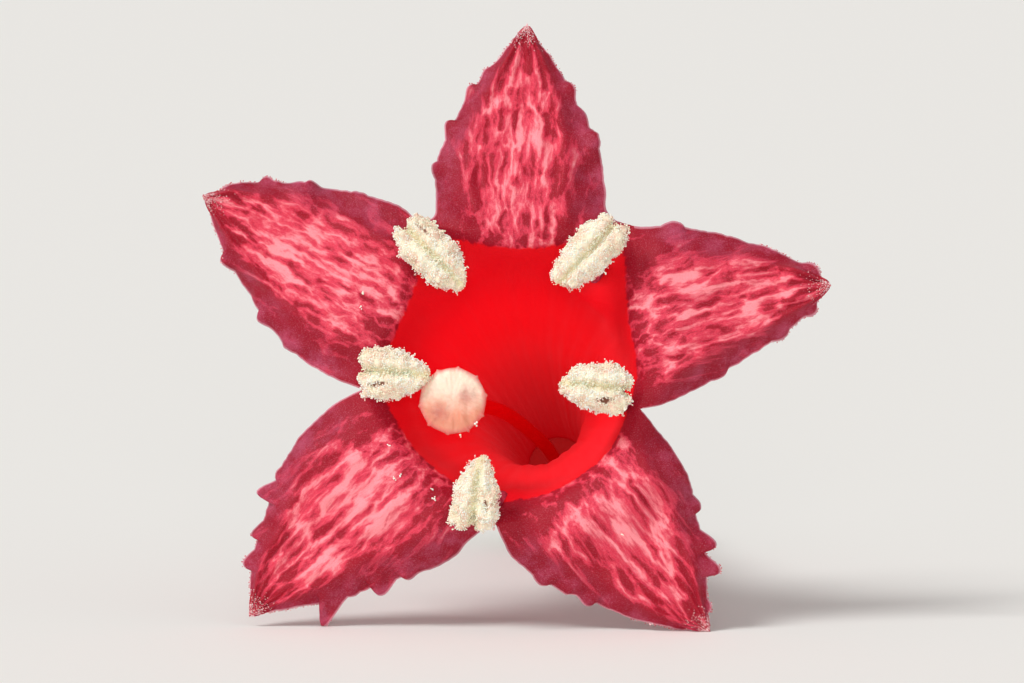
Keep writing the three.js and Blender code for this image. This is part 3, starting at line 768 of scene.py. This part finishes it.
def buildFilament(index, stamen):
    angle, radius = notches[index]
    root = polar(angle, *flareAt(filament["flareShare"], radius, 0))
    heading = np.radians(stamen["heading"])
    place = np.array(stamen["place"], float)
    out = filament["headShare"] * stamen["length"]
    head = place + [out * np.cos(heading), out * np.sin(heading), -0.15]
    bow = (root + head) / 2 + [0, 0, 0.2]

    def girth(s, turn):
        return filament["radius"] * (1.25 - 0.4 * s + 0.06 * np.cos(3 * turn))

    points, quads, caps, _ = sweep([root - [0, 0, 0.25], bow, head], girth, 24, 20)
    addPiece(f"filament_{index + 1}_stalk", points, quads, caps, filamentFinish(),
             [f"filament_{index + 1}"], {"flowerSpace": points})


for index, stamen in enumerate(stamens):
    buildStamen(index, stamen)
    buildFilament(index, stamen)

# stigma: a ten-sided disc with a fine point at each corner, on the style

stigma = {"radius": 1.17, "height": 0.72, "place": [-2.03, -0.92, 0.35], "sides": 10,
          "turn": 9, "point": 0.08,
          "cream": linear(248, 222, 200), "peach": linear(228, 150, 122), "pink": linear(226, 104, 106),
          "blotch": linear(186, 92, 82),
          "beads": [[0.8, -0.82, 0.55], [0.86, -0.78, 0.55], [0.83, -0.86, 0.5],
                    [0.27, -1.2, 0.45], [0.27, -1.24, 0.4]]}


def buildStigma():
    rng = np.random.default_rng(7)
    around, rings = 240, 34
    turn = np.linspace(0, 360, around, endpoint=False)
    wedge = 360 / stigma["sides"]
    off = (turn - stigma["turn"]) % wedge - wedge / 2
    edge = math.cos(math.radians(wedge / 2)) / np.cos(np.radians(off))
    corner = stigma["point"] * np.exp(-(((wedge / 2 - np.abs(off)) / 2.2) ** 2)) * rng.uniform(0.3, 1, around)
    outline = stigma["radius"] * (0.3 + 0.7 * edge)
    profile = [[0.02, 0.0], [0.5, -0.02], [0.84, 0.2], [0.97, 0.45], [1.01, 0.6], [1.0, 0.7], [0.93, 0.78],
               [0.8, 0.86], [0.6, 0.92], [0.3, 0.95], [0.02, 0.95]]
    curve = splinePoints(profile, np.linspace(0, 1, rings))
    points = np.concatenate([polar(turn, outline * radius + corner * max(0, radius - 0.9) * 8,
                                   height * stigma["height"]) for radius, height in curve])
    top, flat = points[:, 2] > 0.6 * stigma["height"], points[:, :2]
    points[:, 2] += top * (0.022 * wander(rng, flat, 0.5, 16) + 0.01 * wander(rng, flat, 0.2, 16))
    points, quads, caps = capped(points, around)
    addPiece("stigma_disc", points + stigma["place"], quads, caps, stigmaFinish(),
             ["stigma"], {"spot": points / stigma["radius"], "flowerSpace": points})
    centres = np.array(stigma["beads"]) + rng.normal(0, 0.012, (len(stigma["beads"]), 3))
    points, faces = balls(rng, centres + stigma["place"], np.array([0.05, 0.045, 0.04, 0.045, 0.03]))
    addPiece("stigma_beads", points, None, faces, pollenFinish(), [],
             {"spot": points * 0 + 0.6, "flowerSpace": points, "tone": np.full(len(points), 0.9)})


def stigmaFinish():
    f = Finish("stigma_skin", roughness=0.38, specular=0.45, subsurface=0.4, bleed=0.4)
    spot = f.field("spot", False)
    patches = f.noise(spot, 2.4, 3, 0.6)
    lower = f.between(f.plus(f.parts(spot)[1], f.times(patches, -0.9)), 0.05, -0.95)
    colour = f.mix(lower, stigma["cream"], stigma["peach"])
    for centre, reach in (((0.42, 0.12, 0.5), 0.42), ((-0.4, -0.38, 0.5), 0.45)):
        gap = f.node("ShaderNodeVectorMath", {0: spot, 1: centre}, operation="DISTANCE").outputs["Value"]
        ragged = f.plus(gap, f.times(f.noise(spot, 7, 3, 0.7), 0.35))
        colour = f.mix(f.times(f.between(ragged, reach + 0.2, 0.1), 0.75), colour, stigma["blotch"])
    radius = f.length(f.scaled(spot, (1, 1, 0)))
    colour = f.mix(f.times(f.between(radius, 0.82, 0.98), 0.7), colour, stigma["pink"])
    f.colour(colour)
    f.bump(f.noise(spot, 14, 3, 0.6), 0.03, 0.5)
    return f.material


style = {"radius": 0.27, "foot": -26, "colour": linear(232, 0, 20), "tint": linear(240, 20, 40)}


def buildStyle():
    x, y, z = stigma["place"]
    lower = [[0, 0, style["foot"]], [-0.1, 0, -19], [0.45 * x, 0.1, -11]]
    upper = [[0.85 * x, -0.05, -7], [1.1 * x, 0.4 * y, -4], [x, y, z + 0.1]]

    def girth(s, turn):
        return style["radius"] * (0.9 + 0.25 * smooth(0.9, 1, s) + 0.04 * np.cos(4 * turn))

    points, quads, caps, _ = sweep(lower + upper, girth, 120, 20)
    skin = patchySkin("style_skin", style, 2, (0.45, 0.7), {"scale": 12, "strength": 0.5}, roughness=0.45)
    addPiece("style_column", points, quads, caps, skin, ["style"], {"flowerSpace": points})


buildStigma()
buildStyle()

# calyx and stalk

calyx = {"sepalLength": 3.1, "sepalHalfWidth": 0.8, "sepalThickness": 0.26, "footRadius": 1.75,
         "green": linear(112, 118, 52), "olive": linear(88, 84, 40), "flush": linear(136, 44, 46),
         "pale": linear(172, 160, 96)}


@cache
def calyxFinish():
    f = Finish("calyx_skin", roughness=0.5, specular=0.4, sheen=0.05, subsurface=0.15, bleed=0.3)
    flower = f.field("flowerSpace", False)
    height = f.parts(flower)[2]
    veins = f.noise(f.scaled(flower, (4, 4, 0.5)), 1.0, 3, 0.6)
    colour = f.mix(f.between(veins, 0.35, 0.65), calyx["olive"], calyx["green"])
    blush = f.plus(f.noise(flower, 0.9, 3, 0.6), f.between(height, -26.5, -23))
    colour = f.mix(f.times(f.between(blush, 0.45, 1.0), 0.85), colour, calyx["flush"])
    specks = f.cells(flower, 5, 0.1)
    colour = f.mix(f.times(f.between(specks, 0.16, 0.06), 0.6), colour, calyx["pale"])
    reach = f.length(f.scaled(flower, (1, 1, 0)))
    # the top of the ovary, at the foot of the tube, takes the darker red of the tube's depth, which is
    # painted shade
    floorOfTube = f.times(f.between(reach, 1.5, 1.2), f.between(height, -26.4, -26.2))
    colour = f.mix(floorOfTube, colour, petalColours["deep"])
    f.colour(colour)
    f.bump(f.plus(f.noise(flower, 14, 3, 0.6), f.times(veins, 0.8)), 0.04, 0.6)
    return f.material


def buildOvary():
    rng = np.random.default_rng(5)
    around, rings = 120, 70
    curve = splinePoints(ovaryOutline()[1:], np.linspace(0, 1, rings))
    turn = np.linspace(0, 360, around, endpoint=False)
    body = curve[:, 0][:, None] > 0.5
    ribs = 1 + 0.022 * np.cos(np.radians(turn * 10))[None] * body
    points = np.concatenate([polar(turn, np.maximum(radius, 0.02) * rib, height)
                             for rib, (radius, height) in zip(ribs, curve)])
    points[:, :2] *= (1 + 0.008 * wander(rng, points, 0.9))[:, None]
    points, quads, caps = capped(points, around)
    addPiece("ovary_cup", points, quads, caps, calyxFinish(), ["ovary"],
             {"flowerSpace": points})


def buildSepal(index, angle):
    rng = np.random.default_rng(60 + index)
    rows, columns = 40, 16
    t = np.linspace(0, 1, rows + 1)[:-1][:, None]
    u = np.linspace(-1, 1, columns + 1)[None]
    half = calyx["sepalHalfWidth"] * (1 - t) ** 0.8 * (1 + 0.6 * t)
    middle = calyx["footRadius"] + 0.22 * t + 0.3 * t**3
    radius = middle + 0.1 * t * u**2 + 0.012 * np.cos(u * 9) * (1 - u**2)
    turn = np.degrees(u * half / middle)
    height = -26 + calyx["sepalLength"] * t + 0 * u
    grid = polar(angle + turn, radius, height).reshape(-1, 3)
    grid += 0.015 * wander(rng, grid, 0.8)[:, None]
    tip = polar(angle, calyx["footRadius"] + 0.52, -26 + calyx["sepalLength"])[None]
    points = np.concatenate([grid, tip])
    quads = ringGrid(rows, columns + 1, closed=False)[:, [0, 3, 2, 1]]
    last = (rows - 1) * (columns + 1) + np.arange(columns)
    fan = np.stack([last, np.full(columns, len(grid)), last + 1], 1)
    aside = np.append(np.abs(np.broadcast_to(u, (rows, columns + 1))).ravel(), 1)
    thick = calyx["sepalThickness"] * (1 - 0.55 * aside**3)
    points, quads, fan, _, _ = thickened(points, quads, fan, thick)
    addPiece(f"sepal_{index + 1}_leaf", points, quads, fan, calyxFinish(),
             [f"sepal_{index + 1}"], {"flowerSpace": points})


pedicel = {"radius": 0.4, "length": 8, "brown": linear(120, 62, 44), "green": linear(126, 112, 58),
           "pith": linear(206, 196, 150)}


def buildPedicel():
    top = ovaryShape["foot"] - ovaryShape["length"] - 0.05
    route = [[0, 0, top], [0.12, 0.05, top - 2.5], [0.45, 0.05, top - 5.5],
             [0.9, -0.03, top - pedicel["length"]]]

    def girth(s, turn):
        swell = 1 + 0.16 * smooth(0.12, 0, s) + 0.05 * np.sin(s * 23)
        ridges = 1 + 0.035 * np.cos(5 * turn + 4 * s) + 0.015 * np.cos(13 * turn)
        return pedicel["radius"] * 0.94 * swell * ridges

    points, quads, caps, share = sweep(route, girth, 130, 48)
    f = Finish("stalk_skin", roughness=0.55, specular=0.35, subsurface=0.1, bleed=0.2)
    flower, along, cut = f.field("flowerSpace", False), f.field("share"), f.field("cut")
    streaks = f.noise(f.scaled(flower, (5, 5, 0.6)), 1.0, 3, 0.6)
    colour = f.mix(f.between(streaks, 0.35, 0.65), pedicel["brown"], pedicel["green"])
    specks = f.cells(flower, 4, 0.1)
    colour = f.mix(f.times(f.between(specks, 0.18, 0.06), 0.6), colour, pedicel["pith"])
    f.colour(f.mix(cut, colour, pedicel["pith"]))
    f.bump(f.plus(f.noise(flower, 14, 3, 0.6), streaks), 0.04, 0.7)
    cutFace = np.append(np.zeros(len(points) - 1), 1)
    addPiece("pedicel_stalk", points, quads, caps, f.material, ["pedicel"],
             {"flowerSpace": points, "share": share, "cut": cutFace})


buildOvary()
for index, lobe in enumerate(lobes):
    buildSepal(index, lobe["angle"])
buildPedicel()

# stray pollen on the lobes, glittering cells at the lobe tips and short papillae along their margins

dusting = {"spots": [[-5.2, 2.98], [-5.3, 2.39], [-2.64, -3.92], [-2.67, -4.27],
                     [-3.37, -1.77], [-3.85, -3.5], [-4.1, -3.57], [3.7, -5.6]],
           "grainRadius": 0.03, "cells": 420, "papillae": 420, "tipReach": 1.15, "marginReach": 2.9}


def buildDusting():
    rng = np.random.default_rng(91)
    centres = []
    for spot in dusting["spots"]:
        nearest = np.argmin(np.linalg.norm(facePoints[:, :2] - spot, axis=1) + 9 * (faceAlong <= 0))
        size = rng.integers(2, 6)
        scatter = rng.normal(0, 0.035, (size, 3)) * [1, 1, 0.2]
        centres.append(facePoints[nearest] + faceNormals[nearest] * 0.02 + scatter)
    centres = np.concatenate(centres)
    points, faces = balls(rng, centres, dusting["grainRadius"] * rng.uniform(0.8, 1.3, len(centres)))
    tone = np.repeat(rng.uniform(0, 1, len(centres)), len(ballPoints))
    addPiece("stray_pollen", points, None, faces, pollenFinish(), [],
             {"spot": points * 0 + 0.6, "flowerSpace": points, "tone": tone})


def glitterFinish():
    f = Finish("tip_glitter", roughness=0.2, specular=0.6, subsurface=0.3, bleed=0.05)
    tone = f.field("tone")
    f.colour(f.mix(f.between(tone, 0.2, 0.9), linear(206, 60, 80), linear(255, 214, 214)))
    return f.material


def buildTipCells():
    rng = np.random.default_rng(92)
    centres, radii = [], []
    for tip in np.flatnonzero(faceAlong >= 1):
        reach = np.linalg.norm(facePoints - facePoints[tip], axis=1)
        near = np.flatnonzero((reach < dusting["tipReach"]) & (faceAlong > 0.5))
        weight = (1 - reach[near] / dusting["tipReach"]) ** 1.5
        chosen = rng.choice(near, dusting["cells"], p=weight / weight.sum())
        scatter = rng.normal(0, 0.03, (len(chosen), 3))
        scatter -= (scatter * faceNormals[chosen]).sum(1, keepdims=True) * faceNormals[chosen]
        centres.append(facePoints[chosen] + scatter + faceNormals[chosen] * 0.004)
        radii.append(rng.uniform(0.012, 0.026, len(chosen)))
        rim = np.flatnonzero((reach < dusting["marginReach"]) & (faceGap < 0.001))
        chosen = rng.choice(rim, dusting["papillae"])
        outward = facePoints[chosen] - facePoints[tip] * 0.75
        outward /= np.linalg.norm(outward, axis=1, keepdims=True)
        centres.append(facePoints[chosen] + outward * rng.uniform(0, 0.05, len(chosen))[:, None]
                       - faceNormals[chosen] * rng.uniform(0, corolla["lobeEdge"], len(chosen))[:, None]
                       + rng.normal(0, 0.015, (len(chosen), 3)))
        radii.append(rng.uniform(0.016, 0.03, len(chosen)))
    centres, radii = np.concatenate(centres), np.concatenate(radii)
    points, faces = balls(rng, centres, radii)
    tone = np.repeat(rng.uniform(0, 1, len(centres)), len(ballPoints))
    addPiece("tip_cells", points, None, faces, glitterFinish(), [], {"tone": tone})


buildDusting()
buildTipCells()

# plain pale floor, soft studio light and the camera

studio = {"floor": linear(246, 244, 240), "reach": 6, "world": 0.44, "lights": [
    {"name": "key", "from": (-0.8, -0.6, 1.1), "strength": 1.8, "spread": 25},
    {"name": "front", "from": (0.07, -1, 0.12), "strength": 1.1, "spread": 20}]}


def buildStudio():
    half = studio["reach"]
    mesh = bpy.data.meshes.new("floor")
    corners = [(-half, -half, 0), (half, -half, 0), (half, half, 0), (-half, half, 0)]
    mesh.from_pydata(corners, [], [(0, 1, 2, 3)])
    floor = bpy.data.objects.new("floor", mesh)
    floor.location.z = -0.00001
    f = Finish("floor_paper", roughness=0.8, specular=0.2)
    f.set("Base Color", studio["floor"])
    mesh.materials.append(f.material)
    bpy.context.scene.collection.objects.link(floor)
    world = bpy.data.worlds.new("studio")
    world.use_nodes = True
    world.node_tree.nodes["Background"].inputs[0].default_value = (1, 0.99, 0.98, 1)
    world.node_tree.nodes["Background"].inputs[1].default_value = studio["world"]
    bpy.context.scene.world = world
    for lamp in studio["lights"]:
        light = bpy.data.lights.new(lamp["name"], "SUN")
        light.energy = lamp["strength"]
        light.angle = math.radians(lamp["spread"])
        holder = bpy.data.objects.new(lamp["name"], light)
        holder.rotation_euler = Vector(lamp["from"]).to_track_quat("Z", "Y").to_euler()
        bpy.context.scene.collection.objects.link(holder)


camera = {"azimuth": 4, "elevation": 4.5, "distance": 220, "width": 35.5, "aim": (-0.035, 1.23)}


def buildCamera():
    azimuth, elevation = math.radians(camera["azimuth"]), math.radians(camera["elevation"])
    level = math.cos(elevation)
    back = Vector((math.sin(azimuth) * level, -math.cos(azimuth) * level, math.sin(elevation)))
    flowerUp = Vector(turned(np.array([[0.0, 1.0, 0.0]]))[0])
    right = flowerUp.cross(back).normalized()
    up = back.cross(right)
    target = Vector(flowerOrigin) + right * camera["aim"][0] + up * camera["aim"][1]
    eye = target + back * camera["distance"]
    data = bpy.data.cameras.new("camera")
    data.sensor_width = 36
    data.lens = 36 * camera["distance"] / camera["width"]
    data.clip_start, data.clip_end = 0.005, 20
    view = bpy.data.objects.new("camera", data)
    view.matrix_world = Matrix.Translation(eye * mm) @ Matrix((right, up, back)).transposed().to_4x4()
    bpy.context.scene.collection.objects.link(view)
    bpy.context.scene.camera = view


buildStudio()
buildCamera()
bpy.context.scene.view_settings.view_transform = "Standard"
